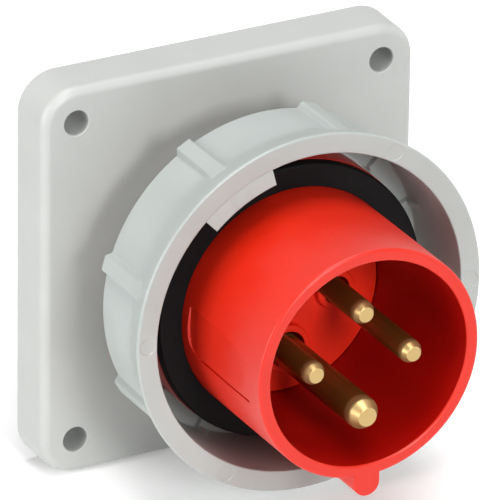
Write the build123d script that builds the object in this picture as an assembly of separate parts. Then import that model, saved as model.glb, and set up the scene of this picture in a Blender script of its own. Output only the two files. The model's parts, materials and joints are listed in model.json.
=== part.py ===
from build123d import *
import os
from math import asin, atan2, degrees, sqrt

# Panel inlet for a four-pole industrial plug system, 16 A size, with a bayonet locking ring.
# Units are millimetres. The front of the inlet faces -Y, +Z is up and +X is to the right seen
# from the front. The origin is the middle of the four bolt holes on the panel plane, which is
# the back of the flange. Lengths along the axis are "forward" distances from the flange's
# front face, and place() turns them into Y.

# Clearances
running_gap = 0.3
fit_gap = 0.15
head_gap = 0.3
stop_gap = 0.3
seal_side_gap = 0.1

# Pin sleeve: shroud, shoulder drum and spigot
sleeve_radius = 25.6
rim_forward = 61.5
rim_wall = 2.7
bore_draft = 0.75
seat_forward = 20.5
seat_ledge = 3.55
spigot_step = 2.6
drum_shoulder = 5.3
drum_back_forward = 16.8
drum_front_forward = 25.3
rim_edge_radius = 0.5
rim_bore_edge_radius = 0.25
rim_bore_radius = sleeve_radius - rim_wall
seat_bore_radius = rim_bore_radius - bore_draft
carrier_bore_radius = seat_bore_radius - seat_ledge
spigot_radius = sleeve_radius + spigot_step
drum_radius = sleeve_radius + drum_shoulder

# Key along the bottom of the shroud
key_width = 6.0
key_height = 4.6
key_back_forward = 28.5
key_reach = sleeve_radius + key_height

# Flat latch ramp on the left side of the shroud: sunk at its back, a little proud at its front
ramp_back_forward = 30.3
ramp_front_forward = 56.3
ramp_width = 10.2
ramp_back_depth = 0.6
ramp_front_depth = 0.1
ramp_corner_radius = 4.0

# Collar on the flange, which carries the sleeve
collar_step = 0.6
collar_forward = 11.5
collar_root_fillet = 0.5
collar_radius = sleeve_radius + collar_step

# Contact carrier, the front insulator
carrier_front_forward = 24.4
carrier_boss_height = 1.8
carrier_boss_wall = 1.35
carrier_boss_rounding = 0.4
carrier_mouth_gap = 0.55
carrier_mouth_shift = 0.25
carrier_mouth_depth = 9.0
carrier_disc_radius = seat_bore_radius - fit_gap
carrier_neck_radius = carrier_bore_radius - 2 * fit_gap

# Terminal block behind the panel
block_shoulder = 2.7
block_end_wall = 5.5
wire_funnel = 1.0
screw_access_radius = 3.4
block_radius = carrier_bore_radius + block_shoulder

# Seals
face_seal_thickness = 2.45
face_seal_set_back = 0.1
face_seal_edge_radius = 0.4
cord_seal_radius = 0.75
cord_seal_from_edge = 1.2
panel_seal_from_block = 9.0
panel_seal_width = 2.4
panel_seal_depth = 1.4
panel_seal_stand = 0.6
face_seal_radius = drum_radius - face_seal_set_back
sleeve_seal_path_radius = collar_radius - cord_seal_from_edge
carrier_seal_path_radius = (carrier_bore_radius + carrier_disc_radius) / 2
panel_seal_inner_radius = block_radius + panel_seal_from_block
panel_seal_outer_radius = panel_seal_inner_radius + panel_seal_width

# Mounting flange
flange_width = 88.0
flange_height = 89.0
flange_thickness = 11.2
flange_corner_radius = 8.3
flange_edge_radius = 2.0
flange_side_draft = 0.25
flange_wall = 3.0
bolt_margin = 8.0
bolt_hole_radius = 2.8
bolt_hole_rounding = 0.3
bolt_boss_radius = 6.0
hub_rim = 2.3
back_rib_width = 1.8
back_rib_count = 24
hub_radius = panel_seal_outer_radius + hub_rim
bolt_spacing_x = flange_width - 2 * bolt_margin
bolt_spacing_z = flange_height - 2 * bolt_margin
front_face = -flange_thickness

# Locking ring
ring_back_forward = 14.0
ring_waist_forward = 27.0
ring_flare_end_forward = 35.1
ring_front_forward = 35.7
ring_room = 9.8
ring_wall = 1.9
ring_draft = 0.2
ring_flare = 2.8
ring_edge_radius = 0.4
ring_lip_radius = 0.3
ring_floor_radius = 0.5
ring_bore_draft = 0.35
web_thickness = 2.5
ring_rest_turn = 29.3
ring_travel = 45.0
ring_bore_radius = sleeve_radius + ring_room
ring_mouth_radius = ring_bore_radius + ring_bore_draft
ring_back_radius = ring_bore_radius + ring_wall
ring_waist_radius = ring_back_radius + ring_draft
ring_front_radius = ring_waist_radius + ring_flare

# Grip ribs outside the locking ring
grip_count = 8
grip_height = 1.45
grip_top_width = 3.1
grip_base_width = 4.9
grip_edge_radius = 0.45
grip_end_forward = 30.8
grip_top_radius = ring_back_radius + grip_height

# Shallow round ejector marks on the ring's front face
mark_radius = 1.8
mark_from_bore = 2.5
mark_depth = 0.12
mark_angle_from_tab = 60.0
mark_circle_radius = ring_bore_radius + mark_from_bore

# Bayonet tabs inside the locking ring
tab_count = 2
tab_reach = 3.45
tab_half_angle = 14.2
tab_thickness = 4.0
tab_set_back = 0.15
tab_edge_radius = 0.5
tab_inner_radius = ring_bore_radius - tab_reach

# Half-round bars on the floor of the locking ring
bar_count = 16
bar_radius = 0.8
bar_gap = 0.4
bar_start_radius = drum_radius + bar_gap

# Turn stops between sleeve and locking ring
stop_count = 2
stop_set_back = 0.7
stop_half_angle = 5.0
stop_angle = 200.0
stop_radius = drum_radius - stop_set_back

# Split clip behind the locking ring's web
clip_groove_depth = 1.2
clip_set_back = 0.2
clip_thickness = 1.2
clip_opening = 7.0
clip_groove_radius = spigot_radius - clip_groove_depth
clip_radius = drum_radius - clip_set_back

# Contacts, on a circle that lies a little below the sleeve's axis
contact_from_wall = 11.54
contact_drop = 0.9
phase_angles = (180.0, 90.0, 0.0)
earth_angle = 270.0
phase_radius = 2.5
earth_radius = 3.5
phase_tip_forward = 59.8
earth_tip_forward = 61.2
phase_tip_taper_length = 1.45
earth_tip_taper_length = 2.1
phase_tip_face_radius = 1.65
earth_tip_face_radius = 2.05
tip_shoulder_rounding = 1.5
tip_edge_rounding = 0.2
pin_groove_forward = 25.6
pin_groove_width = 0.9
pin_groove_depth = 0.25
phase_barrel_radius = 3.9
earth_barrel_radius = 4.7
barrel_length = 20.0
wire_bore_radius = 2.1
earth_wire_bore_radius = 2.6
wire_bore_depth = 12.0
terminal_screw_from_end = 7.0
contact_circle_radius = rim_bore_radius - contact_from_wall
contact_centre_z = -contact_drop
terminal_screw_back = barrel_length - terminal_screw_from_end

# Screws
terminal_screw_radius = 1.9
terminal_head_radius = 3.0
terminal_head_height = 2.2
terminal_slot_width = 0.8
terminal_slot_depth = 1.1
clamp_plate_thickness = 0.6
clamp_plate_length = 9.0
sleeve_screw_from_edge = 3.9
sleeve_screw_count = 4
sleeve_screw_first_angle = 45.0
sleeve_screw_radius = 1.6
sleeve_screw_head_radius = 2.8
sleeve_screw_head_height = 2.3
sleeve_screw_seat = flange_thickness
sleeve_screw_length = 19.0
carrier_screw_radius = 2.0
carrier_screw_head_radius = 3.6
carrier_screw_head_height = 2.6
carrier_screw_seat = 14.0
carrier_screw_length = 32.0
cross_recess_width = 0.9
cross_recess_depth = 1.4
sleeve_screw_circle_radius = collar_radius - sleeve_screw_from_edge

# Rear end of the terminal block, and the small overlap that cutters reach past a face
block_end = barrel_length + head_gap + block_end_wall
eps = 0.01


def place(forward):
    """Y of a plane that lies this far in front of the flange's front face."""
    return front_face - forward


def facing(y):
    """Sketch plane at this Y, seen from the front: local x is +X and local y is +Z."""
    return Plane(origin=(0, y, 0), x_dir=(1, 0, 0), z_dir=(0, -1, 0))


def prism(outline, y_back, y_front):
    """Push a front-view outline along the axis from one Y to another."""
    return extrude(facing(y_back) * outline, amount=y_back - y_front)


def rod(radius, y_back, y_front, x=0.0, z=0.0):
    """Round bar along the axis."""
    return prism(Pos(x, z) * Circle(radius), y_back, y_front)


def tube(outer, inner, y_back, y_front):
    """Plain ring along the axis."""
    return rod(outer, y_back, y_front) - rod(inner, y_back + eps, y_front - eps)


def profile(*corners):
    """Half section from (radius, Y) corners."""
    return make_face(Polyline(*corners, close=True))


def soften(section, corner, radius):
    """Round one corner of a half section."""
    return fillet(section.vertices().sort_by_distance((corner[0], corner[1], 0))[0], radius)


def turned(section, arc=360.0):
    """Turn a half section about the sleeve's axis."""
    return revolve(section, Axis.Y, revolution_arc=arc)


def turn(angle):
    """Counter-clockwise turn about the axis, seen from the front."""
    return Rot(0, -angle, 0)


def sector(inner, outer, y_back, y_front, middle, half_angle):
    """Block that fills part of a ring, centred on an angle from +X towards +Z."""
    section = profile((inner, y_back), (outer, y_back), (outer, y_front), (inner, y_front))
    return turn(middle + half_angle) * turned(section, 2 * half_angle)


def spread(count, first=0.0):
    """Evenly spaced angles round the axis."""
    return [first + 360.0 * k / count for k in range(count)]


def on_circle(radius, angle):
    """Point of the front view at this radius and angle."""
    spot = Vector(radius, 0).rotate(Axis.Z, angle)
    return spot.X, spot.Y


def contact_spot(angle):
    """X and Z of a contact's axis."""
    x, z = on_circle(contact_circle_radius, angle)
    return x, z + contact_centre_z


def cross_recess(y_face, x=0.0, z=0.0, span=3.2):
    """Cross-shaped driver recess that opens towards the back."""
    arm = Rectangle(span, cross_recess_width) + Rectangle(cross_recess_width, span)
    return prism(Pos(x, z) * arm, y_face + eps, y_face - cross_recess_depth)


def back_screw(x, z, seat_y, shank_radius, length, head_radius, head_height):
    """Screw driven from behind, with a domed head and a pointed end."""
    head = rod(head_radius, seat_y + head_height, seat_y, x, z)
    head = fillet(head.edges().group_by(Axis.Y)[-1], head_height * 0.4)
    head -= cross_recess(seat_y + head_height, x, z)
    shank = rod(shank_radius, seat_y + eps, seat_y - length, x, z)
    shank = chamfer(shank.edges().group_by(Axis.Y)[0], shank_radius * 0.5)
    return head + shank


def mounting_flange():
    """Square flange, cored from behind, with the collar for sleeve and ring."""
    outline = RectangleRounded(flange_width, flange_height, flange_corner_radius)
    side_angle = degrees(atan2(flange_side_draft, flange_thickness))
    plate = extrude(facing(0) * outline, amount=flange_thickness, taper=side_angle)
    for x, z in bolt_spots():
        plate -= rod(bolt_hole_radius, eps, front_face - eps, x, z)
    rims = plate.edges().group_by(Axis.Y)[0]
    bolt_rims = rims.filter_by(GeomType.CIRCLE).sort_by(SortBy.RADIUS)[:4]
    outer_rim = [edge for edge in rims if edge not in bolt_rims]
    plate = fillet(outer_rim, flange_edge_radius)
    rims = plate.edges().group_by(Axis.Y)[0].filter_by(GeomType.CIRCLE)
    bolt_rims = [rim for rim in rims if abs(rim.radius - bolt_hole_radius) < eps]
    plate = fillet(bolt_rims, bolt_hole_rounding)
    plate -= prism(flange_core(), eps, front_face + flange_wall)
    root_y = front_face + flange_wall
    nose = place(collar_forward)
    collar = profile(
        (0, root_y),
        (collar_radius + collar_root_fillet, root_y),
        (collar_radius + collar_root_fillet, front_face),
        (collar_radius, front_face - collar_root_fillet),
        (collar_radius, nose),
        (0, nose),
    )
    body = plate + turned(collar)
    body -= rod(carrier_bore_radius, eps, nose - eps)
    for x, z in sleeve_screw_spots():
        body -= rod(sleeve_screw_radius + fit_gap, eps, nose - eps, x, z)
        body -= rod(sleeve_screw_head_radius + head_gap, eps, -sleeve_screw_seat, x, z)
    groove_inside = panel_seal_inner_radius - fit_gap
    body -= tube(panel_seal_outer_radius + fit_gap, groove_inside, eps, -panel_seal_depth)
    return body


def flange_core():
    """Outline of the pockets in the flange's back, between hub, bolt bosses and ribs."""
    core = RectangleRounded(
        flange_width - 2 * flange_wall,
        flange_height - 2 * flange_wall,
        flange_corner_radius - flange_wall,
    )
    core -= Circle(hub_radius)
    for angle in spread(back_rib_count // 2):
        core -= Rot(0, 0, angle / 2) * Rectangle(flange_width * 2, back_rib_width)
    for x, z in bolt_spots():
        core -= Pos(x, z) * Circle(bolt_boss_radius)
    return core


def bolt_spots():
    """Centres of the four panel bolt holes."""
    half_x = bolt_spacing_x / 2
    half_z = bolt_spacing_z / 2
    return [(sx * half_x, sz * half_z) for sx in (-1, 1) for sz in (-1, 1)]


def sleeve_screw_spots():
    """Centres of the screws that clamp the sleeve to the collar."""
    angles = spread(sleeve_screw_count, sleeve_screw_first_angle)
    return [on_circle(sleeve_screw_circle_radius, angle) for angle in angles]


def panel_seal():
    """Flat rubber ring round the panel cut-out."""
    outer = panel_seal_outer_radius
    return tube(outer, panel_seal_inner_radius, panel_seal_stand, -panel_seal_depth)


def retaining_clip():
    """Split spring ring that holds the locking ring on the spigot."""
    front = place(ring_back_forward - running_gap)
    clip = tube(clip_radius, clip_groove_radius + fit_gap, front + clip_thickness, front)
    opening = Pos(0, front + clip_thickness / 2, clip_radius) * Box(
        clip_opening, 2 * clip_thickness, clip_radius
    )
    return clip - opening


def sleeve_section():
    """Half section of the sleeve, bored for the contact carrier."""
    back = place(collar_forward)
    drum_back = place(drum_back_forward)
    drum_front = place(drum_front_forward)
    rim = place(rim_forward)
    seat = place(seat_forward)
    section = profile(
        (carrier_bore_radius, back),
        (spigot_radius, back),
        (spigot_radius, drum_back),
        (drum_radius, drum_back),
        (drum_radius, drum_front),
        (sleeve_radius, drum_front),
        (sleeve_radius, rim),
        (rim_bore_radius, rim),
        (seat_bore_radius, seat),
        (carrier_bore_radius, seat),
    )
    section = soften(section, (sleeve_radius, rim), rim_edge_radius)
    section = soften(section, (rim_bore_radius, rim), rim_bore_edge_radius)
    return soften(section, (drum_radius, drum_front), rim_bore_edge_radius)


def sleeve_key():
    """Tongue along the bottom of the shroud, round at its foot."""
    foot = key_reach - key_width / 2
    root = (sleeve_radius + rim_bore_radius) / 2
    outline = Pos(0, -(foot + root) / 2) * Rectangle(key_width, foot - root)
    outline += Pos(0, -foot) * Circle(key_width / 2)
    key = prism(outline, place(key_back_forward), place(rim_forward))
    return fillet(key.edges().group_by(Axis.Y)[0].group_by(Axis.Z)[0], rim_edge_radius)


def ramp_prism(*corners):
    """Prism across the ramp from (X, Y) corners, with two round corners seen from the side."""
    outline = Plane.XY * make_face(Polyline(*corners, close=True))
    block = Pos(0, 0, -ramp_width / 2) * extrude(outline, amount=ramp_width)
    lines = block.edges().filter_by(Axis.X)
    back_low = lines.group_by(Axis.Y)[-1].sort_by(Axis.Z)[0]
    front_high = lines.group_by(Axis.Y)[0].sort_by(Axis.Z)[-1]
    return fillet([back_low, front_high], ramp_corner_radius)


def with_ramp(body):
    """Cut the flat into the shroud's left side and fill what stands proud at its front."""
    back = place(ramp_back_forward)
    front = place(ramp_front_forward)
    back_x = ramp_back_depth - sleeve_radius
    front_x = ramp_front_depth - sleeve_radius
    inside = rim_wall / 2 - sleeve_radius
    outside = -sleeve_radius - 1
    body -= ramp_prism((back_x, back), (front_x, front), (outside, front), (outside, back))
    return body + ramp_prism((back_x, back), (front_x, front), (inside, front), (inside, back))


def pin_sleeve():
    """Shroud, shoulder drum and spigot, moulded in one."""
    back = place(collar_forward)
    ring_back = place(ring_back_forward)
    drum_back = place(drum_back_forward)
    body = with_ramp(turned(sleeve_section()) + sleeve_key())
    for angle in spread(stop_count, stop_angle):
        inside = spigot_radius - 1
        body += sector(inside, stop_radius, ring_back, drum_back - 1, angle, stop_half_angle)
    clip_front = ring_back + running_gap
    clip_room = clip_front + clip_thickness + fit_gap
    body -= tube(spigot_radius + 1, clip_groove_radius, clip_room, clip_front - fit_gap)
    path = sleeve_seal_path_radius
    groove = cord_seal_radius + seal_side_gap
    body -= tube(path + groove, path - groove, back + eps, back - 2 * cord_seal_radius)
    hole_end = -sleeve_screw_seat - sleeve_screw_length - 0.6
    for x, z in sleeve_screw_spots():
        body -= rod(sleeve_screw_radius, back + eps, hole_end, x, z)
    return body


def round_seal(path_radius, face):
    """Round rubber ring that lies in front of a face at this Y."""
    return Pos(0, face - cord_seal_radius, 0) * Rot(90, 0, 0) * Torus(path_radius, cord_seal_radius)


def sleeve_seal():
    """Round rubber ring between sleeve and collar."""
    return round_seal(sleeve_seal_path_radius, place(collar_forward))


def carrier_seal():
    """Round rubber ring between the carrier's disc and the ledge in the sleeve."""
    return round_seal(carrier_seal_path_radius, place(seat_forward))


def face_seal():
    """Flat rubber ring on the shoulder, which the mating connector presses on."""
    back = place(drum_front_forward)
    front = back - face_seal_thickness
    section = profile(
        (sleeve_radius + eps, back),
        (face_seal_radius, back),
        (face_seal_radius, front),
        (sleeve_radius + eps, front),
    )
    return turned(soften(section, (face_seal_radius, front), face_seal_edge_radius))


def ring_section():
    """Half section of the locking ring without its ribs and tabs."""
    back = place(ring_back_forward)
    front = place(ring_front_forward)
    floor = back - web_thickness
    section = profile(
        (spigot_radius + running_gap, back),
        (ring_back_radius, back),
        (ring_waist_radius, place(ring_waist_forward)),
        (ring_front_radius, place(ring_flare_end_forward)),
        (ring_front_radius, front),
        (ring_mouth_radius, front),
        (ring_bore_radius, floor),
        (spigot_radius + running_gap, floor),
    )
    section = soften(section, (ring_back_radius, back), ring_edge_radius)
    section = soften(section, (ring_front_radius, front), ring_edge_radius)
    section = soften(section, (ring_mouth_radius, front), ring_lip_radius)
    return soften(section, (ring_bore_radius, floor), ring_floor_radius)


def grip_rib():
    """One grip rib, standing on +Z."""
    root = ring_back_radius - 1
    spread_per_mm = (grip_base_width - grip_top_width) / (grip_top_radius - ring_back_radius)
    root_width = grip_base_width + spread_per_mm * (ring_back_radius - root)
    outline = make_face(
        Polyline(
            (-root_width / 2, root),
            (root_width / 2, root),
            (grip_top_width / 2, grip_top_radius),
            (-grip_top_width / 2, grip_top_radius),
            close=True,
        )
    )
    rib = prism(outline, place(ring_back_forward), place(grip_end_forward))
    top = rib.edges().filter_by(Axis.Y).group_by(Axis.Z)[-1]
    back = rib.edges().filter_by(Axis.X).group_by(Axis.Z)[-1].sort_by(Axis.Y)[-1]
    return fillet(top + [back], grip_edge_radius)


def bayonet_tab():
    """One inward tab at the ring's mouth, standing on +Z."""
    front = place(ring_front_forward) + tab_set_back
    tab = sector(
        tab_inner_radius,
        ring_bore_radius + 1,
        front + tab_thickness,
        front,
        90,
        tab_half_angle,
    )
    corners = tab.edges().filter_by(Axis.Y).group_by(Axis.Z)[0]
    return fillet(corners, tab_edge_radius)


def floor_bar():
    """One half-round bar on the ring's floor, along +X."""
    floor = place(ring_back_forward) - web_thickness
    length = ring_bore_radius + 0.5 - bar_start_radius
    bar = Rot(0, 90, 0) * Cylinder(bar_radius, length)
    return Pos(bar_start_radius + length / 2, floor, 0) * bar


def ejector_mark(angle):
    """Cutter for one shallow round mark on the ring's front face."""
    x, z = on_circle(mark_circle_radius, angle)
    front = place(ring_front_forward)
    return rod(mark_radius, front + mark_depth, front - eps, x, z)


def stop_notch(angle):
    """Cutter in the ring's web that gives a turn stop its travel."""
    gap_angle = degrees(asin(stop_gap / stop_radius))
    half_angle = stop_half_angle + ring_travel / 2 + gap_angle
    back = place(ring_back_forward) + eps
    front = back - web_thickness - 2 * eps
    middle = angle + ring_travel / 2
    return sector(spigot_radius, stop_radius + running_gap, back, front, middle, half_angle)


def locking_ring():
    """Bayonet ring with grip ribs, tabs, floor bars and the notches for the turn stops."""
    body = turned(ring_section())
    for angle in spread(grip_count):
        body += turn(angle) * grip_rib()
    for angle in spread(bar_count, 180.0 / bar_count):
        body += turn(angle) * floor_bar()
    for angle in spread(tab_count):
        body += turn(angle) * bayonet_tab()
        body -= ejector_mark(angle + 90 - mark_angle_from_tab)
        body -= ejector_mark(angle + 90 + mark_angle_from_tab)
    body = turn(ring_rest_turn) * body
    for angle in spread(stop_count, stop_angle):
        body -= stop_notch(angle)
    return body


def contact_carrier():
    """Front insulator: disc in the sleeve and neck through the flange."""
    front = place(carrier_front_forward)
    seat = place(seat_forward)
    body = rod(carrier_disc_radius, seat, front) + rod(carrier_neck_radius, 0, seat - eps)
    path = carrier_seal_path_radius
    groove = cord_seal_radius + seal_side_gap
    body -= tube(path + groove, path - groove, seat + eps, seat - 2 * cord_seal_radius)
    top = front - carrier_boss_height
    shift = carrier_mouth_shift
    for angle, radius in contact_list():
        x, z = contact_spot(angle)
        wall = radius + carrier_mouth_gap + carrier_boss_wall
        boss = rod(wall, front + 1, top, x + shift, z + shift)
        body += fillet(boss.edges().group_by(Axis.Y)[0], carrier_boss_rounding)
    for angle, radius in contact_list():
        x, z = contact_spot(angle)
        mouth = radius + carrier_mouth_gap
        mouth_floor = front + carrier_mouth_depth
        body -= rod(mouth, mouth_floor, top - eps, x + shift, z + shift)
        body -= rod(radius + fit_gap, eps, top - eps, x, z)
    screw_end = carrier_screw_seat - carrier_screw_length - 1
    body -= rod(carrier_screw_radius, eps, screw_end, 0, contact_centre_z)
    return body


def contact_list():
    """Angle and pin radius of every contact."""
    phases = [(angle, phase_radius) for angle in phase_angles]
    return phases + [(earth_angle, earth_radius)]


def contact_pin(angle, radius, tip_forward, taper_length, face_radius, bore_radius):
    """Turned brass pin with a tapered tip and its terminal barrel."""
    tip = place(tip_forward)
    shoulder = tip + taper_length
    barrel_radius = barrel_of(radius)
    section = profile(
        (0, barrel_length),
        (barrel_radius, barrel_length),
        (barrel_radius, fit_gap),
        (radius, fit_gap),
        (radius, shoulder),
        (face_radius, tip),
        (0, tip),
    )
    section = soften(section, (radius, shoulder), tip_shoulder_rounding)
    section = soften(section, (face_radius, tip), tip_edge_rounding)
    x, z = contact_spot(angle)
    pin = turned(section)
    groove_back = place(pin_groove_forward)
    groove_front = groove_back - pin_groove_width
    pin -= tube(radius + 1, radius - pin_groove_depth, groove_back, groove_front)
    pin = Pos(x, 0, z) * pin
    pin -= rod(bore_radius, barrel_length + eps, barrel_length - wire_bore_depth, x, z)
    return pin - terminal_hole(angle, barrel_radius)


def terminal_hole(angle, barrel_radius):
    """Radial threaded hole in a terminal barrel."""
    return to_terminal(angle) * along_x(terminal_screw_radius, 0, barrel_radius + 1)


def to_terminal(angle):
    """Place a part that lies along +X at a contact's terminal screw."""
    x, z = contact_spot(angle)
    return Pos(x, terminal_screw_back, z) * turn(angle)


def terminal_screw(angle, barrel_radius, bore_radius):
    """Slotted clamp screw in a terminal barrel."""
    tip = plate_top(bore_radius)
    seat = barrel_radius + fit_gap
    shank = along_x(terminal_screw_radius, tip, seat)
    head = along_x(terminal_head_radius, seat, seat + terminal_head_height)
    slot = Pos(seat + terminal_head_height, 0, 0)
    slot *= Box(2 * terminal_slot_depth, terminal_slot_width, 3 * terminal_head_radius)
    return to_terminal(angle) * (shank + head - slot)


def clamp_plate(angle, bore_radius):
    """Wire guard plate under a clamp screw, as wide as the wire bore lets it be."""
    top = plate_top(bore_radius)
    width = 2 * sqrt((bore_radius - fit_gap) ** 2 - top**2)
    plate = Box(clamp_plate_thickness, clamp_plate_length, width)
    return to_terminal(angle) * Pos(top - clamp_plate_thickness / 2, 0, 0) * plate


def plate_top(bore_radius):
    """Distance from a pin's axis to the outer face of its clamp plate."""
    return bore_radius * 0.8


def along_x(radius, start, end):
    """Round bar along +X."""
    return Pos((start + end) / 2, 0, 0) * Rot(0, 90, 0) * Cylinder(radius, end - start)


def terminal_block():
    """Rear insulator round the terminal barrels."""
    body = rod(block_radius, block_end, 0)
    body = chamfer(body.edges().group_by(Axis.Y)[-1], wire_funnel)
    pocket_end = barrel_length + head_gap
    for angle, radius in contact_list():
        x, z = contact_spot(angle)
        mouth = wire_bore_of(radius) + fit_gap
        body -= rod(barrel_of(radius) + fit_gap, pocket_end, -eps, x, z)
        body -= rod(mouth, block_end + eps, pocket_end - eps, x, z)
        funnel = Cone(mouth, mouth + wire_funnel, wire_funnel)
        body -= Pos(x, block_end - wire_funnel / 2, z) * Rot(-90, 0, 0) * funnel
        body -= to_terminal(angle) * along_x(screw_access_radius, 0, block_radius)
    seat = carrier_screw_seat
    centre = contact_centre_z
    body -= rod(carrier_screw_radius + fit_gap, block_end, -eps, 0, centre)
    body -= rod(carrier_screw_head_radius + head_gap, block_end + eps, seat, 0, centre)
    return body


def barrel_of(radius):
    """Outer radius of the terminal barrel on a pin of this radius."""
    return earth_barrel_radius if radius == earth_radius else phase_barrel_radius


def wire_bore_of(radius):
    """Radius of the wire bore on a pin of this radius."""
    return earth_wire_bore_radius if radius == earth_radius else wire_bore_radius


def sleeve_screws():
    """Tapping screws from behind that clamp the sleeve to the collar."""
    group = [
        back_screw(
            x,
            z,
            -sleeve_screw_seat,
            sleeve_screw_radius,
            sleeve_screw_length,
            sleeve_screw_head_radius,
            sleeve_screw_head_height,
        )
        for x, z in sleeve_screw_spots()
    ]
    return Part() + group


def carrier_screw():
    """Central screw that draws carrier and terminal block together."""
    return back_screw(
        0,
        contact_centre_z,
        carrier_screw_seat,
        carrier_screw_radius,
        carrier_screw_length,
        carrier_screw_head_radius,
        carrier_screw_head_height,
    )


def phase_pin(angle):
    """Phase contact pin."""
    return contact_pin(
        angle,
        phase_radius,
        phase_tip_forward,
        phase_tip_taper_length,
        phase_tip_face_radius,
        wire_bore_radius,
    )


def earth_pin():
    """Earth contact pin, thicker and longer than the phases."""
    return contact_pin(
        earth_angle,
        earth_radius,
        earth_tip_forward,
        earth_tip_taper_length,
        earth_tip_face_radius,
        earth_wire_bore_radius,
    )


parts = {
    "mounting_flange": mounting_flange(),
    "panel_seal": panel_seal(),
    "pin_sleeve": pin_sleeve(),
    "sleeve_seal": sleeve_seal(),
    "sleeve_screws": sleeve_screws(),
    "face_seal": face_seal(),
    "locking_ring": locking_ring(),
    "retaining_clip": retaining_clip(),
    "contact_carrier": contact_carrier(),
    "carrier_seal": carrier_seal(),
    "terminal_block": terminal_block(),
    "carrier_screw": carrier_screw(),
    "earth_pin": earth_pin(),
    "earth_clamp_plate": clamp_plate(earth_angle, earth_wire_bore_radius),
    "earth_terminal_screw": terminal_screw(
        earth_angle, earth_barrel_radius, earth_wire_bore_radius
    ),
}
for number, angle in enumerate(phase_angles, start=1):
    parts[f"phase_pin_{number}"] = phase_pin(angle)
    parts[f"phase_clamp_plate_{number}"] = clamp_plate(angle, wire_bore_radius)
phase_screws = [terminal_screw(a, phase_barrel_radius, wire_bore_radius) for a in phase_angles]
parts["phase_terminal_screws"] = Part() + phase_screws

os.makedirs("parts", exist_ok=True)
for name, shape in parts.items():
    export_step(shape, f"parts/{name}.step")
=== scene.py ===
import json
import math

import bpy
from mathutils import Matrix, Vector


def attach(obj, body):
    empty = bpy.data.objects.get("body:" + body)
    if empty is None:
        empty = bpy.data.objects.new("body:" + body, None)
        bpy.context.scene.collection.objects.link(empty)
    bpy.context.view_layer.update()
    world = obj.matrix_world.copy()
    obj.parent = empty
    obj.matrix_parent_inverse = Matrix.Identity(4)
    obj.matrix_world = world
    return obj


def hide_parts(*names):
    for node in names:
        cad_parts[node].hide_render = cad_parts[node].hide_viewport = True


# Looks of the panel inlet. Sizes are millimetres, and metres for camera, lights and floor.
# "forward" is the distance in front of the flange's front face. Angles are degrees from +X
# towards +Z, seen from the front. A section is a closed list of (radius, forward) points.

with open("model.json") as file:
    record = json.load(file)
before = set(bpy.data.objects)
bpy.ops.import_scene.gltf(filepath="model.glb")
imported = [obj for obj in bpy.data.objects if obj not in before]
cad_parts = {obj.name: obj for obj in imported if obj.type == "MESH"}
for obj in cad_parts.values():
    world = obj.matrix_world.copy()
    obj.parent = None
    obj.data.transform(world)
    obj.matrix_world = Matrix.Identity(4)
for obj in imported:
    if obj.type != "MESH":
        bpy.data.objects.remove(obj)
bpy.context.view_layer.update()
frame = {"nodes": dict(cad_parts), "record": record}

# Driving sizes: flange thickness, radii of the shroud and of what steps out from it, turn stops
MM = 0.001
FLANGE = 11.2
SHROUD = 25.6
SPIGOT = SHROUD + 2.6
DRUM = SHROUD + 5.3
DRUM_FRONT = 25.3
STOP_RADIUS = SPIGOT + 2.0
STOP_ANGLES = [20.0, 200.0]
STOP_HALF = 5.0


# Mesh helpers

CLOSEST_ANGLES = 0.02


def point(radius, angle, forward):
    a = math.radians(angle)
    return Vector((radius * math.cos(a), -(FLANGE + forward), radius * math.sin(a))) * MM


def make_object(name, verts, faces, material, body, replaced, slot, crease=35):
    """Shell with smooth shading up to the crease angle, riding on a body of the CAD model."""
    mesh = bpy.data.meshes.new(name)
    mesh.from_pydata([tuple(v) for v in verts], [], faces)
    mesh.validate()
    mesh.update()
    obj = bpy.data.objects.new(name, mesh)
    bpy.context.scene.collection.objects.link(obj)
    mesh.materials.append(material)
    mesh.shade_smooth()
    mesh.set_sharp_from_angle(angle=math.radians(crease))
    normals = obj.modifiers.new("normals", "WEIGHTED_NORMAL")
    normals.keep_sharp = True
    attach(obj, body)
    if replaced:
        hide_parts(*replaced)
    return obj


def second_material(obj, material, chosen):
    """Give the faces whose centre is chosen a material of their own."""
    obj.data.materials.append(material)
    for face in obj.data.polygons:
        if chosen(face.center):
            face.material_index = 1


def rounded(corners, steps):
    """Path through (radius, forward, rounding) corners, with each rounding drawn as an arc."""
    path = []
    count = len(corners)
    for i, (r, f, rounding) in enumerate(corners):
        here = Vector((r, f))
        before = Vector(corners[i - 1][:2]) - here
        after = Vector(corners[(i + 1) % count][:2]) - here
        if rounding <= 0:
            path.append((r, f))
            continue
        u, v = before.normalized(), after.normalized()
        half = u.angle(v) / 2
        reach = rounding / math.tan(half)
        start, end = here + u * reach, here + v * reach
        centre = here + (u + v).normalized() * (rounding / math.sin(half))
        a, b = start - centre, end - centre
        sweep = math.atan2(a.x * b.y - a.y * b.x, a.dot(b))
        for k in range(steps + 1):
            t = sweep * k / steps
            c, s = math.cos(t), math.sin(t)
            path.append((centre.x + a.x * c - a.y * s, centre.y + a.x * s + a.y * c))
    return path


def arc(radius, forward, across, along, start, end, steps):
    """Arc about a centre, with half axes across and along, from start to end in degrees."""
    turns = [math.radians(start + (end - start) * k / steps) for k in range(steps + 1)]
    return [(radius + across * math.cos(t), forward + along * math.sin(t)) for t in turns]


def spread(start, end, steps):
    """Even steps from start to end, without start itself."""
    return [start + (end - start) * k / steps for k in range(1, steps + 1)]


def grid(rows, columns, closed):
    """Faces between closed rows of points; closed also joins the last row to the first."""
    faces = []
    for i in range(rows if closed else rows - 1):
        j = (i + 1) % rows
        for k in range(columns):
            after = (k + 1) % columns
            faces.append((i * columns + k, i * columns + after, j * columns + after, j * columns + k))
    return faces


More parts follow.
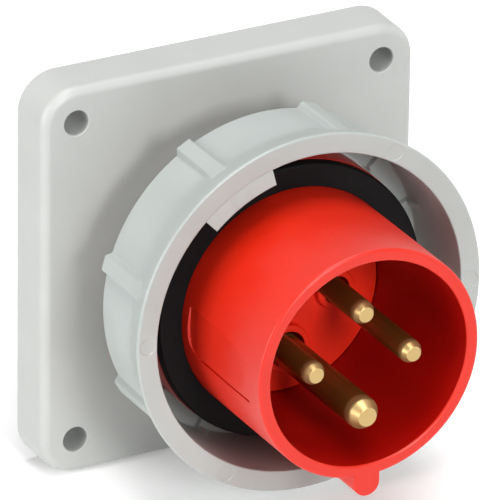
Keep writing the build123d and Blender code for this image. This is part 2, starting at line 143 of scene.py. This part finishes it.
def turned(section_at, angles):
    """Section swept round the axis; section_at(angle) has the same number of points everywhere."""
    sections = [section_at(angle) for angle in angles]
    verts = []
    for angle, section in zip(angles, sections):
        verts.extend(point(r, angle, f) for r, f in section)
    return verts, grid(len(sections), len(sections[0]), closed=True)


def both_sides(centre, steps):
    """Angles at the same steps on both sides of a centre."""
    return [centre + side * step for side in (-1, 1) for step in steps]


def round_angles(count, extra=()):
    """Even angles and extra ones, sorted, with near-duplicates dropped."""
    even = [360.0 * k / count for k in range(count)]
    found = sorted(a % 360 for a in even + list(extra))
    kept = [found[0]]
    for a in found[1:]:
        if a - kept[-1] > CLOSEST_ANGLES:
            kept.append(a)
    return kept


def smooth(t):
    """Soft step from 0 to 1."""
    t = max(0.0, min(1.0, t))
    return t * t * (3 - 2 * t)


def apart(a, b):
    """Signed difference of two angles, within half a turn."""
    return (a - b + 180) % 360 - 180


def nearest(angle, others):
    """Degrees between an angle and the nearest of some others."""
    return min(abs(apart(angle, other)) for other in others)


# Material helpers

# The pins turn brighter between these distances forward, towards their ends
BRIGHT_ENDS_START = 57.0
BRIGHT_ENDS_END = 57.9


def rgb(r, g, b):
    """Linear colour from sRGB numbers of 0 to 255."""
    def one(c):
        c /= 255
        return c / 12.92 if c <= 0.04045 else ((c + 0.055) / 1.055) ** 2.4
    return one(r), one(g), one(b), 1.0


def node(tree, kind, **values):
    """New node, with each value put on the socket or the setting of that name."""
    made = tree.nodes.new(kind)
    for key, value in values.items():
        if key in made.inputs:
            made.inputs[key].default_value = value
        else:
            setattr(made, key, value)
    return made


def new_material(name, **values):
    """Material with only a Principled shader, and its tree and shader."""
    mat = bpy.data.materials.new(name)
    mat.use_nodes = True
    tree = mat.node_tree
    tree.nodes.clear()
    out = node(tree, "ShaderNodeOutputMaterial")
    bsdf = node(tree, "ShaderNodeBsdfPrincipled", **values)
    tree.links.new(bsdf.outputs["BSDF"], out.inputs["Surface"])
    return mat, tree, bsdf


def noise(tree, scale, detail=2):
    coord = node(tree, "ShaderNodeTexCoord")
    made = node(tree, "ShaderNodeTexNoise", Scale=scale, Detail=detail, Roughness=0.5)
    tree.links.new(coord.outputs["Object"], made.inputs["Vector"])
    return made.outputs["Fac"]


def ranged(tree, source, low, high):
    """Noise, which mostly lies between 0.3 and 0.7, stretched to run from low to high."""
    made = node(tree, "ShaderNodeMapRange", **{"From Min": 0.3, "From Max": 0.7})
    made.inputs["To Min"].default_value = low
    made.inputs["To Max"].default_value = high
    tree.links.new(source, made.inputs["Value"])
    return made.outputs["Result"]


def mottled(tree, source, colour, shade):
    """Colour that drifts with noise between two close tones."""
    mix = node(tree, "ShaderNodeMix", data_type="RGBA")
    mix.inputs["A"].default_value = colour
    mix.inputs["B"].default_value = shade
    tree.links.new(ranged(tree, source, 0.0, 1.0), mix.inputs["Factor"])
    return mix.outputs["Result"]


def brighter_pin_ends(tree, surface, end_colour):
    """Surface colour that turns into a brighter one just behind the pins' tapered ends."""
    coord = node(tree, "ShaderNodeTexCoord")
    axes = node(tree, "ShaderNodeSeparateXYZ")
    tree.links.new(coord.outputs["Object"], axes.inputs["Vector"])
    tip = node(tree, "ShaderNodeMapRange")
    tip.inputs["From Min"].default_value = -(FLANGE + BRIGHT_ENDS_START) * MM
    tip.inputs["From Max"].default_value = -(FLANGE + BRIGHT_ENDS_END) * MM
    tree.links.new(axes.outputs["Y"], tip.inputs["Value"])
    mix = node(tree, "ShaderNodeMix", data_type="RGBA")
    mix.inputs["B"].default_value = end_colour
    tree.links.new(tip.outputs["Result"], mix.inputs["Factor"])
    tree.links.new(surface, mix.inputs["A"])
    return mix.outputs["Result"]


def bumped(tree, scale, strength, distance, under=None):
    """Normal raised by noise, on top of another normal if one is given."""
    bump = node(tree, "ShaderNodeBump", Strength=strength, Distance=distance)
    tree.links.new(noise(tree, scale), bump.inputs["Height"])
    if under:
        tree.links.new(under, bump.inputs["Normal"])
    return bump.outputs["Normal"]


def plastic(name, colour, shade, rough, grain=0.02, grain_scale=3000, wave=0.05, specular=0.5):
    """Moulded plastic: faint mottling, fine grain and slight sink waves."""
    mat, tree, bsdf = new_material(name, **{"Specular IOR Level": specular})
    base = mottled(tree, noise(tree, scale=90, detail=3), colour, shade)
    roughness = ranged(tree, noise(tree, scale=120), rough * 0.92, rough * 1.08)
    waves = bumped(tree, scale=70, strength=wave, distance=0.0006)
    grained = bumped(tree, scale=grain_scale, strength=grain, distance=0.0001, under=waves)
    tree.links.new(base, bsdf.inputs["Base Color"])
    tree.links.new(roughness, bsdf.inputs["Roughness"])
    tree.links.new(grained, bsdf.inputs["Normal"])
    return mat


def metal(name, colour, shade, rough, end_colour=None, metallic=1.0):
    """Metal with faint tarnish; a colour given for the ends makes the pins brighter just behind their
    tips.
    """
    mat, tree, bsdf = new_material(name, Metallic=metallic)
    tarnish = noise(tree, scale=120, detail=1)
    base = mottled(tree, tarnish, colour, shade)
    if end_colour:
        base = brighter_pin_ends(tree, base, end_colour)
    roughness = ranged(tree, tarnish, rough * 0.9, rough * 1.1)
    uneven = bumped(tree, scale=90, strength=0.012, distance=0.0003)
    tree.links.new(base, bsdf.inputs["Base Color"])
    tree.links.new(roughness, bsdf.inputs["Roughness"])
    tree.links.new(uneven, bsdf.inputs["Normal"])
    return mat


# Materials of the mouldings, rubber and metals

grey = plastic("grey_moulding", rgb(176, 178, 175), rgb(172, 174, 171), 0.42, grain=0.03)
# The ring's own grey, with a faint cool tint painted in to cancel the red light that the shroud bounces
# onto its front
grey_ring = plastic("grey_ring_with_painted_cool_tint", rgb(164, 170, 167), rgb(160, 166, 163), 0.3,
                    grain=0.0, specular=0.4)
# Lighter, cooler grey for the inside of the ring: painted light, lifting the shade on its floor, wall
# and bars and cancelling the red light that the shroud bounces onto them
grey_ring_painted_light = plastic("grey_ring_inside_painted_light", rgb(169, 180, 177), rgb(165, 176, 173), 0.36,
                      grain=0.0, specular=0.4)
red = plastic("red_moulding", rgb(203, 32, 8), rgb(197, 29, 7), 0.36, grain=0.0,
              wave=0.02, specular=0.42)
# Darker red for the shroud's inner wall: painted shade, the deep inside of the cup drawn darker than
# the same moulding outside
red_painted_shade = plastic("red_inside_painted_shade", rgb(163, 6, 0), rgb(156, 5, 0), 0.4, grain=0.0,
                     wave=0.02, specular=0.3)
# The carrier's own lighter red, partly painted light too: its disc is kept bright as if lit, so that
# less light need reach into the cup
carrier_red_painted_light = plastic("red_carrier_moulding_painted_light", rgb(238, 42, 14), rgb(232, 38, 11), 0.42,
                      grain=0.0, wave=0.02, specular=0.35)
black = plastic("black_moulding", rgb(30, 30, 31), rgb(24, 24, 25), 0.45)
rubber = plastic("black_rubber", rgb(17, 16, 17), rgb(11, 10, 11), 0.6, grain=0.06,
                 grain_scale=3500, specular=0.1)
# Brass pins, drawn brighter at their ends than along their shafts
brass = metal("turned_brass", rgb(130, 97, 42), rgb(122, 90, 37), 0.34, metallic=0.75,
              end_colour=rgb(184, 156, 104))
zinc = metal("zinc_plate", rgb(200, 202, 205), rgb(180, 183, 188), 0.28)
spring = metal("spring_steel", rgb(150, 152, 156), rgb(130, 132, 137), 0.35)

BY_SLOT = {
    "grey_housing": grey,
    "grey_ring": grey_ring,
    "red_insulation": red,
    "black_insulation": black,
    "black_rubber": rubber,
    "contact_brass": brass,
    "zinc_steel": zinc,
    "spring_steel": spring,
}
BY_NODE = {"contact_carrier": carrier_red_painted_light}
for part in frame["record"]["subparts"]:
    mesh = frame["nodes"][part["node"]].data
    mesh.materials.clear()
    mesh.materials.append(BY_NODE.get(part["node"], BY_SLOT[part["material_slot"]]))


# Locking ring

# The ring stands off the axis by its play, as in the photo
RING_TURN = 29.3
RING_TRAVEL = 45.0
RING_PLAY = Vector((0.25, 0.0, 0.45)) * MM
RING_BACK = 14.0
RING_FLOOR = RING_BACK + 2.5
RING_FRONT = 35.7
RING_HOLE = SPIGOT + 0.6
RING_BORE = SHROUD + 9.8
RING_BORE_DRAFT = 0.35

# Outer side: plain body, flare and mouth
BACK_RADIUS = RING_BORE + 1.9
BACK_EDGE = 0.45
BODY_DRAFT = 0.2
WAIST_RADIUS = BACK_RADIUS + BODY_DRAFT
FLARE_START = 24.5
FLARE_SOFT = 5.0
FLARE_SLOPE = 2.8 / 8.1
MOUTH_RADIUS = WAIST_RADIUS + 2.4
MOUTH_EDGE = 0.4
LIP_RADIUS = RING_BORE + 0.65
LIP_EDGE = 0.3

# Rows of the outer side, close together where the flare begins and the ribs run out
BODY_ROWS = [17.8, 21.1] + [FLARE_START + 0.6 * k for k in range(5)]
BODY_ROWS += [27.0 + 0.23 * k for k in range(1, 21)] + [32.7, 33.8, 34.9]

# Grip ribs, with a soft foot on each side
RIBS = [RING_TURN + 45.0 * k for k in range(8)]
RIB_RADIUS = BACK_RADIUS + 1.45
RIB_HALF = 1.45
RIB_FOOT = 1.05
RIB_WIDTH_AT = 38.0

# Bayonet tabs, and a round ejector mark 60 degrees to each side of them
TABS = [RING_TURN + 90.0, RING_TURN + 270.0]
TAB_HALF = 14.2
TAB_RADIUS = RING_BORE - 3.45
TAB_FRONT = RING_FRONT - 0.15
TAB_BACK = RING_FRONT - 4.0
MARKS = [tab + side for tab in TABS for side in (-60.0, 60.0)]
MARK_CIRCLE = RING_BORE + 2.5
MARK_RADIUS = 1.92
MARK_EDGE = 0.2
MARK_DEPTH = 0.15

# Round-topped bars on the floor, which run up the wall at their outer ends
BARS = [RING_TURN + 11.25 + 22.5 * k for k in range(16)]
BAR_HEIGHT = 0.95
BAR_HALF = 0.95
BAR_SIDE = 0.45
BAR_WIDTH_AT = 33.2
BAR_INNER_END = DRUM + 0.1
BAR_INNER_RUN = 0.3
BAR_TOP_END = RING_FLOOR + 5.0
BAR_TOP_RUN = 4.0
FLOOR_CORNER = 0.5
CORNER_LOSS = 0.45

# Notches in which the sleeve's stops travel
NOTCHES = [stop + RING_TRAVEL / 2 for stop in STOP_ANGLES]
NOTCH_HALF = STOP_HALF + RING_TRAVEL / 2 + 0.6
NOTCH_RADIUS = STOP_RADIUS + 0.7


def body_radius(forward):
    """Outer radius of the plain ring body: nearly straight, then a flare that starts softly."""
    into_flare = forward - FLARE_START
    if into_flare < 0:
        return BACK_RADIUS + BODY_DRAFT * (forward - RING_BACK) / (FLARE_START - RING_BACK)
    if into_flare < FLARE_SOFT:
        return WAIST_RADIUS + FLARE_SLOPE * into_flare ** 2 / (2 * FLARE_SOFT)
    return WAIST_RADIUS + FLARE_SLOPE * (into_flare - FLARE_SOFT / 2)


def bore_radius(forward):
    """Inner radius of the ring, with the draft of its mould."""
    return RING_BORE + RING_BORE_DRAFT * (forward - RING_FLOOR) / (RING_FRONT - RING_FLOOR)


def outer_radius(angle, forward):
    """Ring body with its grip ribs, which end where the flare reaches their height."""
    base = body_radius(forward)
    across = math.radians(nearest(angle, RIBS)) * RIB_WIDTH_AT
    share = 1.0 - smooth((across - RIB_HALF) / RIB_FOOT)
    return base + max(RIB_RADIUS - base, 0.0) * share


def front_at(angle, radius):
    """The ring's front face, which dips inside the ejector marks."""
    turns = [math.radians(apart(angle, mark)) for mark in MARKS]
    away = min(math.hypot(radius * math.cos(t) - MARK_CIRCLE, radius * math.sin(t)) for t in turns)
    return RING_FRONT - MARK_DEPTH * smooth((MARK_RADIUS - away) / MARK_EDGE)


def lip_section(angle):
    """Inner edge of the mouth with the wall below it or, in the same number of points, a tab."""
    tab = nearest(angle, TABS) < TAB_HALF
    edge = arc(LIP_RADIUS, RING_FRONT - LIP_EDGE, LIP_EDGE, LIP_EDGE, 90, 180, 5)[1:]
    if not tab:
        rows = [35.1 - 0.5 * k for k in range(7)] + [TAB_BACK]
        return edge + [(bore_radius(forward), forward) for forward in rows]
    path = [(r, max(forward, TAB_FRONT)) for r, forward in edge]
    path += [(LIP_RADIUS - LIP_EDGE - 0.01, TAB_FRONT), (TAB_RADIUS + 0.3, TAB_FRONT)]
    path += [(TAB_RADIUS + 0.15, TAB_FRONT - 0.04), (TAB_RADIUS + 0.05, TAB_FRONT - 0.13)]
    path += [(TAB_RADIUS, TAB_FRONT - 0.3), (TAB_RADIUS, TAB_BACK + 0.1)]
    return path + [(TAB_RADIUS + 0.1, TAB_BACK), (bore_radius(TAB_BACK), TAB_BACK)]


def inside_section(angle):
    """Wall, corner and floor inside the ring, with the bars that stand on them."""
    across = math.radians(nearest(angle, BARS)) * BAR_WIDTH_AT
    height = BAR_HEIGHT * smooth((BAR_HALF - across) / BAR_SIDE)
    corner = FLOOR_CORNER - CORNER_LOSS * height
    wall_end = RING_FLOOR + height + corner
    floor_start = RING_BORE - height - corner
    path = []
    for forward in spread(TAB_BACK, wall_end, 18):
        rise = height * smooth((BAR_TOP_END - forward) / BAR_TOP_RUN)
        path.append((bore_radius(forward) - rise, forward))
    path += arc(floor_start, wall_end, corner, corner, 0, -90, 5)[1:]
    for r in spread(floor_start, BAR_INNER_END, 12):
        path.append((r, RING_FLOOR + height * smooth((r - BAR_INNER_END) / BAR_INNER_RUN)))
    return path


def ring_section(angle):
    """Round the ring: hole, back edge, outer side, mouth, lip or tab, wall and floor."""
    hole = NOTCH_RADIUS if nearest(angle, NOTCHES) < NOTCH_HALF else RING_HOLE
    back = outer_radius(angle, RING_BACK)
    path = [(hole, RING_FLOOR), (hole, RING_BACK)]
    path += arc(back - BACK_EDGE, RING_BACK + BACK_EDGE, BACK_EDGE, BACK_EDGE, -90, 0, 6)
    path += [(outer_radius(angle, forward), forward) for forward in BODY_ROWS]
    path += arc(MOUTH_RADIUS, RING_FRONT - MOUTH_EDGE, MOUTH_EDGE, MOUTH_EDGE, 0, 90, 4)
    path += [(r, front_at(angle, r)) for r in spread(MOUTH_RADIUS, LIP_RADIUS, 24)]
    return path + lip_section(angle) + inside_section(angle)


def ring_angles():
    """Even angles, and more of them where a rib, bar, tab, mark or notch begins and ends."""
    extra = []
    for rib in RIBS:
        extra += both_sides(rib, [0.0, 1.0] + [1.9 + 0.22 * k for k in range(11)])
    for bar in BARS:
        extra += both_sides(bar, [0.43, 0.86, 1.02, 1.17, 1.33, 1.48, 1.64])
    for tab in TABS:
        extra += both_sides(tab, [TAB_HALF - 0.04, TAB_HALF + 0.04])
    for mark in MARKS:
        extra += both_sides(mark, [0.24 * k for k in range(14)])
    for notch in NOTCHES:
        extra += both_sides(notch, [NOTCH_HALF - 0.03, NOTCH_HALF + 0.03])
    return round_angles(192, extra)


def inside_ring(centre):
    """True for a face inside the ring: floor, wall, bars and tabs."""
    spot = centre - RING_PLAY
    near_axis = math.hypot(spot.x, spot.z) < (LIP_RADIUS - 0.1) * MM
    return near_axis and -spot.y > (FLANGE + RING_FLOOR - 0.1) * MM


verts, faces = turned(ring_section, ring_angles())
verts = [v + RING_PLAY for v in verts]
ring_shell = make_object("ring_shell", verts, faces, grey_ring, "ring", ["locking_ring"],
                         "grey_ring", crease=38)
# The faces inside the ring take the lighter grey of painted light
second_material(ring_shell, grey_ring_painted_light, inside_ring)


# Sleeve with its ramp

RIM_FRONT = 61.5
RIM_OUTER_WIDTH = 0.9
RIM_OUTER_DEPTH = 0.6
RIM_INNER_WIDTH = 0.6
RIM_INNER_DEPTH = 0.5
SHROUD_BORE = SHROUD - 2.7
SHROUD_BORE_DRAFT = 0.75
CARRIER_BORE = SHROUD_BORE - 4.3
SEAT = 20.5
SPIGOT_BACK = 11.5
CLIP_GROOVE = SPIGOT - 1.2
CLIP_GROOVE_BACK = 12.35
CLIP_GROOVE_FRONT = CLIP_GROOVE_BACK + 1.5
STOP_BACK = 14.0
DRUM_BACK = DRUM_FRONT - 8.5
DRUM_EDGE = 0.3

# The ramp lies on the left of the shroud, within RAMP_REACH radians of its angle
RAMP_ANGLE = 180.0
RAMP_REACH = 0.3
RAMP_SIDE_RADIUS = 25.3
RAMP_BACK = 30.3
RAMP_FRONT = RAMP_BACK + 26.0
RAMP_HALF = 5.1
RAMP_CORNER = 4.0
RAMP_BACK_DEPTH = 0.5
RAMP_RISE = 0.42
RAMP_FLATNESS = 0.27
RAMP_PROUD = 0.05
RAMP_EDGE = 0.06
RAMP_FRONT_RUN = 6.0
RAMP_EDGE_ROWS = (-0.06, -0.03, 0.0, 0.03, 0.06)

# Narrow groove below the ramp's lower edge
GROOVE_DEPTH = 0.8
GROOVE_BELOW = 0.18
GROOVE_HALF = 0.33
GROOVE_SIDE = 0.22
GROOVE_BACK = 33.0
GROOVE_BACK_RUN = 5.0
GROOVE_FRONT_RUN = 0.4

# Rows of the shroud's outside, close together at both ends of the ramp
SHROUD_ROWS = [25.8, 26.5, 28.0, 29.4, 30.1] + [RAMP_BACK + s for s in RAMP_EDGE_ROWS]
SHROUD_ROWS += [30.5 + 0.16 * k for k in range(1, 26)]
SHROUD_ROWS += [36.0 + 1.0 * k for k in range(16)]
SHROUD_ROWS += [51.9 + 0.16 * k for k in range(27)] + [RAMP_FRONT + s for s in RAMP_EDGE_ROWS]
SHROUD_ROWS += [57.0, 58.0, 59.0, 60.0]


def in_ramp(z, forward):
    """How far a point lies inside the ramp's outline, with its two round corners."""
    from_back = forward - RAMP_BACK
    from_front = RAMP_FRONT - forward
    from_bottom = z + RAMP_HALF
    from_top = RAMP_HALF - z
    inside = min(from_bottom, from_top, from_back, from_front)
    for side, end in ((from_bottom, from_back), (from_top, from_front)):
        if side < RAMP_CORNER and end < RAMP_CORNER:
            inside = RAMP_CORNER - math.hypot(RAMP_CORNER - side, RAMP_CORNER - end)
    return inside


def shroud_radius(angle, forward):
    """Outside of the shroud: within the ramp it is sunk at the back and less curved."""
    away = math.radians(apart(angle, RAMP_ANGLE))
    if abs(away) > RAMP_REACH:
        return SHROUD
    z = -SHROUD * math.sin(away)
    from_front = RAMP_FRONT - forward
    along = (forward - RAMP_BACK) / (RAMP_FRONT - RAMP_BACK)
    depth = RAMP_BACK_DEPTH - RAMP_RISE * along - RAMP_FLATNESS * (z / RAMP_HALF) ** 2
    share = smooth((in_ramp(z, forward) + RAMP_EDGE) / (2 * RAMP_EDGE))
    share *= smooth(from_front / RAMP_FRONT_RUN)
    ends = min(smooth((forward - GROOVE_BACK) / GROOVE_BACK_RUN), smooth(from_front / GROOVE_FRONT_RUN))
    groove = smooth((GROOVE_HALF - abs(z + RAMP_HALF + GROOVE_BELOW)) / GROOVE_SIDE) * ends
    return SHROUD - max(depth, -RAMP_PROUD) * share - GROOVE_DEPTH * groove


def sleeve_section(angle):
    """Round the sleeve: carrier bore, spigot, clip groove, stop, drum, shroud, rim and bore."""
    stop = nearest(angle, STOP_ANGLES) < STOP_HALF
    edge = STOP_RADIUS if stop else SPIGOT
    path = [(CARRIER_BORE, SEAT), (CARRIER_BORE, SPIGOT_BACK), (SPIGOT, SPIGOT_BACK)]
    path += [(SPIGOT, CLIP_GROOVE_BACK), (CLIP_GROOVE, CLIP_GROOVE_BACK)]
    path += [(CLIP_GROOVE, CLIP_GROOVE_FRONT), (SPIGOT, CLIP_GROOVE_FRONT)]
    path += [(edge, STOP_BACK), (edge, DRUM_BACK)]
    path += [(DRUM - DRUM_EDGE, DRUM_BACK), (DRUM, DRUM_BACK + DRUM_EDGE)]
    path += [(DRUM, DRUM_FRONT - DRUM_EDGE), (DRUM - 0.08, DRUM_FRONT - 0.1)]
    path += [(DRUM - DRUM_EDGE, DRUM_FRONT), (SHROUD, DRUM_FRONT)]
    path += [(shroud_radius(angle, forward), forward) for forward in SHROUD_ROWS]
    path += arc(SHROUD - RIM_OUTER_WIDTH, RIM_FRONT - RIM_OUTER_DEPTH,
                RIM_OUTER_WIDTH, RIM_OUTER_DEPTH, 0, 90, 12)
    path += arc(SHROUD_BORE + RIM_INNER_WIDTH, RIM_FRONT - RIM_INNER_DEPTH,
                RIM_INNER_WIDTH, RIM_INNER_DEPTH, 90, 180, 6)
    radii = spread(SHROUD_BORE, SHROUD_BORE - SHROUD_BORE_DRAFT, 12)
    return path + list(zip(radii, spread(RIM_FRONT - RIM_INNER_DEPTH, SEAT, 12)))


def sleeve_angles():
    """Even angles, and more of them over the ramp, its lower edge and the stops."""
    ramp_edge = math.degrees(math.asin(RAMP_HALF / RAMP_SIDE_RADIUS))
    extra = both_sides(RAMP_ANGLE, [ramp_edge + s for s in (-0.3, -0.14, -0.07, 0, 0.07, 0.14)])
    extra += both_sides(RAMP_ANGLE, [ramp_edge - 0.35 * k for k in range(30)])
    extra += [RAMP_ANGLE + ramp_edge - 0.6 + 0.1 * k for k in range(18)]
    for stop in STOP_ANGLES:
        extra += both_sides(stop, [STOP_HALF - 0.03, STOP_HALF + 0.03])
    return round_angles(288, extra)


def inside_shroud(centre):
    return math.hypot(centre.x, centre.z) < SHROUD_BORE * MM


sleeve_shell = make_object("sleeve_shell", *turned(sleeve_section, sleeve_angles()), red, "inlet",
                           ["pin_sleeve"], "red_insulation", crease=30)
# The faces inside the shroud take the darker red of painted shade
second_material(sleeve_shell, red_painted_shade, inside_shroud)


# Key of the sleeve

KEY_HALF = 3.0
KEY_TOP = -SHROUD + 1.6
KEY_CENTRE = -SHROUD - 1.6
KEY_BACK = 28.5
KEY_STRAIGHT_END = RIM_FRONT - 0.4
KEY_FRONT = RIM_FRONT - 0.01
KEY_EDGE = 0.4


def key_mesh():
    """Tongue with a round foot and softened front edge."""
    outline = [(KEY_HALF, KEY_TOP)]
    outline += arc(0.0, KEY_CENTRE, KEY_HALF, -KEY_HALF, 0, 180, 30)
    outline += [(-KEY_HALF, KEY_TOP)]
    rows = [(KEY_BACK, 0.0), (KEY_STRAIGHT_END, 0.0)]
    for t in spread(0.0, math.pi / 2, 4):
        forward = KEY_FRONT - KEY_EDGE + KEY_EDGE * math.sin(t)
        rows.append((forward, KEY_EDGE - KEY_EDGE * math.cos(t)))
    verts = []
    for forward, inset in rows:
        for x, z in outline:
            if z <= KEY_CENTRE:
                length = math.hypot(x, z - KEY_CENTRE)
                dx, dz = -x / length * inset, -(z - KEY_CENTRE) / length * inset
            else:
                dx, dz = -math.copysign(inset, x), 0.0
            verts.append(Vector((x + dx, -(FLANGE + forward), z + dz)) * MM)
    n = len(outline)
    faces = grid(len(rows), n, closed=False)
    faces.append(tuple(reversed(range(n))))
    faces.append(tuple((len(rows) - 1) * n + k for k in range(n)))
    return verts, faces


make_object("sleeve_key", *key_mesh(), red, "inlet", (), "red_insulation", crease=40)


# Face seal

SEAL_INNER = SHROUD + 0.01
SEAL_OUTER = DRUM - 0.1
SEAL_FRONT = DRUM_FRONT + 2.45
SEAL_INNER_FRONT = DRUM_FRONT + 2.4


def seal_section(angle):
    """Flat ring, rounded at its outer front edge; the same at every angle."""
    back = [(SEAL_INNER, DRUM_FRONT, 0), (SEAL_OUTER, DRUM_FRONT, 0)]
    front = [(SEAL_OUTER, SEAL_FRONT, 0.55), (SEAL_INNER, SEAL_INNER_FRONT, 0.15)]
    return rounded(back + front, 4)


make_object("seal_ring", *turned(seal_section, round_angles(256)), rubber, "inlet",
            ["face_seal"], "black_rubber")


# Camera, fitted to the photo

CAMERA_PLACE = Vector((-0.76923, -1.42674 - FLANGE * MM, 0.76618))
CAMERA_RIGHT = Vector((0.88158, -0.47188, 0.01229))
CAMERA_BACK = Vector((-0.43127, -0.79458, 0.42736))
FOCAL_PIXELS = 8525.28
PICTURE_PIXELS = 500.0
SENSOR = 36.0

back = CAMERA_BACK.normalized()
up = back.cross(CAMERA_RIGHT.normalized()).normalized()
right = up.cross(back).normalized()
camera_data = bpy.data.cameras.new("camera")
camera_data.sensor_width = SENSOR
camera_data.lens = SENSOR * FOCAL_PIXELS / PICTURE_PIXELS
camera_data.clip_start = 0.1
camera_data.clip_end = 20.0
camera = bpy.data.objects.new("camera", camera_data)
bpy.context.scene.collection.objects.link(camera)
camera.matrix_world = Matrix((
    (right.x, up.x, back.x, CAMERA_PLACE.x),
    (right.y, up.y, back.y, CAMERA_PLACE.y),
    (right.z, up.z, back.z, CAMERA_PLACE.z),
    (0, 0, 0, 1),
))
bpy.context.scene.camera = camera


# Lights and world

LIGHT_TARGET = Vector((0, -0.03, 0))
WORLD_STRENGTH = 1.3


def light(name, location, size, power):
    """Square lamp of a size in metres and a power in watts, turned to the object."""
    data = bpy.data.lights.new(name, "AREA")
    data.energy = power
    data.size = size
    obj = bpy.data.objects.new(name, data)
    bpy.context.scene.collection.objects.link(obj)
    obj.location = location
    obj.rotation_mode = "QUATERNION"
    obj.rotation_quaternion = (LIGHT_TARGET - Vector(location)).to_track_quat("-Z", "Y")


light("left", (-1.4, -0.03, 0.2), size=0.8, power=15.5)
light("top", (0, -0.05, 1.4), size=0.9, power=17)
light("front", (-0.05, -1.42, 0.5), size=0.4, power=11.5)
light("right", (1.3, -0.5, 0.2), size=0.8, power=2.5)
light("top_front", (-0.2, -0.9, 1.1), size=0.6, power=6)
bpy.context.scene.view_settings.view_transform = "Standard"

world = bpy.data.worlds.new("world")
bpy.context.scene.world = world
world.use_nodes = True
background = world.node_tree.nodes["Background"]
background.inputs["Color"].default_value = (1, 1, 1, 1)
background.inputs["Strength"].default_value = WORLD_STRENGTH
world.cycles_visibility.diffuse = False


# White floor below the flange

FLOOR_HALF = 3.0
FLOOR_LEVEL = -0.0447
FLOOR_GLOW = 0.2

corners = [(-FLOOR_HALF, -FLOOR_HALF), (FLOOR_HALF, -FLOOR_HALF),
           (FLOOR_HALF, FLOOR_HALF), (-FLOOR_HALF, FLOOR_HALF)]
floor_mesh = bpy.data.meshes.new("floor")
floor_mesh.from_pydata([(x, y, FLOOR_LEVEL) for x, y in corners], [], [(0, 1, 2, 3)])
floor = bpy.data.objects.new("floor", floor_mesh)
bpy.context.scene.collection.objects.link(floor)
floor_white = plastic("floor_white", (0.9, 0.9, 0.9, 1), (0.89, 0.89, 0.89, 1), 0.6,
                      wave=0.0, grain=0.0)
floor_shader = floor_white.node_tree.nodes["Principled BSDF"]
floor_shader.inputs["Emission Color"].default_value = (1, 1, 1, 1)
floor_shader.inputs["Emission Strength"].default_value = FLOOR_GLOW
floor_mesh.materials.append(floor_white)
